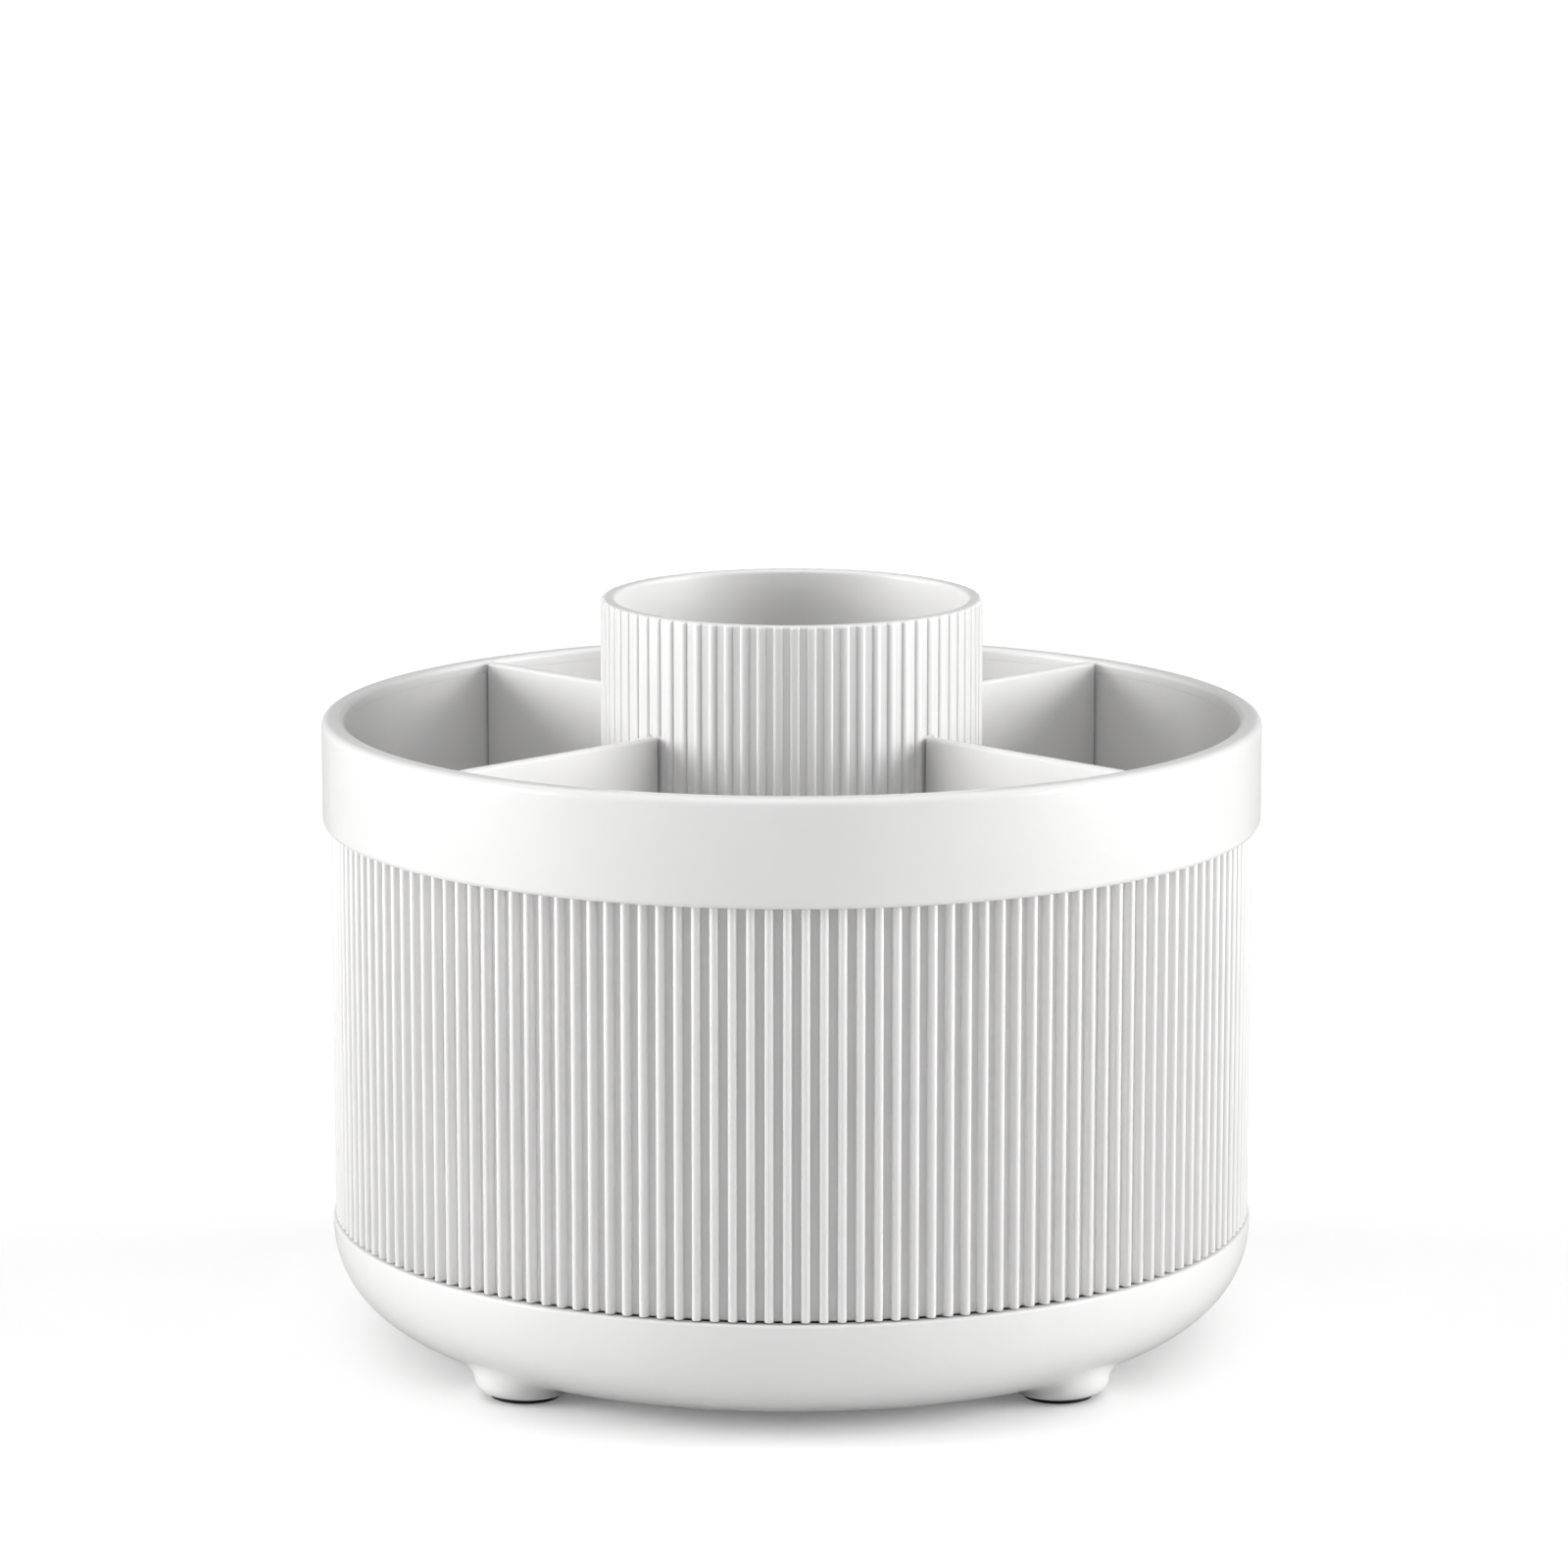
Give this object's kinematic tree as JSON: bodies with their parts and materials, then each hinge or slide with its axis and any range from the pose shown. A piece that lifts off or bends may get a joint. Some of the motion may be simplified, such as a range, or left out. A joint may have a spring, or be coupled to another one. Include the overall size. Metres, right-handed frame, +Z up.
{
  "type": "rotating makeup brush organiser",
  "caption": "Round ribbed desk organiser for makeup brushes: a rimmed drum with partitions and a taller cup in its middle turns on a ball bearing in a footed base.",
  "frame": {"origin": "on the table, under the middle, on the axis that the drum turns about", "axes": "+Z up along that axis, -Y to the front, +X to the right as seen from the front; at rest the partitions stand on the diagonals"},
  "size_m": [0.16, 0.16, 0.1277],
  "materials": {
    "gloss_white": "white moulded plastic with a soft gloss",
    "satin_white": "white moulded plastic, satin",
    "natural_nylon": "natural nylon, satin",
    "black_rubber": "matt black rubber",
    "zinc_steel": "zinc plated",
    "ball_steel": "polished bearing steel"
  },
  "bodies": {
    "base": {"base_bowl": "gloss_white", "foot_pad_front_left": "black_rubber", "foot_pad_front_right": "black_rubber", "foot_pad_rear_left": "black_rubber", "foot_pad_rear_right": "black_rubber", "lower_race": "natural_nylon", "lower_race_screw_1": "zinc_steel", "lower_race_screw_2": "zinc_steel", "lower_race_screw_3": "zinc_steel", "lower_race_screw_4": "zinc_steel"},
    "ball_cage": {"ball_cage": "natural_nylon", "bearing_ball_1": "ball_steel", "bearing_ball_10": "ball_steel", "bearing_ball_11": "ball_steel", "bearing_ball_12": "ball_steel", "bearing_ball_2": "ball_steel", "bearing_ball_3": "ball_steel", "bearing_ball_4": "ball_steel", "bearing_ball_5": "ball_steel", "bearing_ball_6": "ball_steel", "bearing_ball_7": "ball_steel", "bearing_ball_8": "ball_steel", "bearing_ball_9": "ball_steel"},
    "caddy": {"centre_cup": "gloss_white", "cup_screw_1": "zinc_steel", "cup_screw_2": "zinc_steel", "cup_screw_3": "zinc_steel", "cup_screw_4": "zinc_steel", "floor_plate": "satin_white", "partition_front_left": "satin_white", "partition_front_right": "satin_white", "partition_rear_left": "satin_white", "partition_rear_right": "satin_white", "pivot_screw": "zinc_steel", "pivot_washer": "natural_nylon", "ribbed_sleeve": "gloss_white", "rim_collar": "gloss_white", "upper_race": "natural_nylon", "upper_race_screw_1": "zinc_steel", "upper_race_screw_2": "zinc_steel", "upper_race_screw_3": "zinc_steel", "upper_race_screw_4": "zinc_steel"}
  },
  "joints": [
    {"name": "turntable_spin", "type": "hinge", "parent": "base", "child": "caddy", "pos_m": [0, 0, 0.0186], "axis": [0, 0, 1], "continuous": true},
    {"name": "cage_spin", "type": "hinge", "parent": "base", "child": "ball_cage", "pos_m": [0, 0, 0.0186], "axis": [0, 0, 1], "continuous": true}
  ],
  "couplings": [
    {"joint": "cage_spin", "follows": "turntable_spin", "ratio": 0.5}
  ]
}
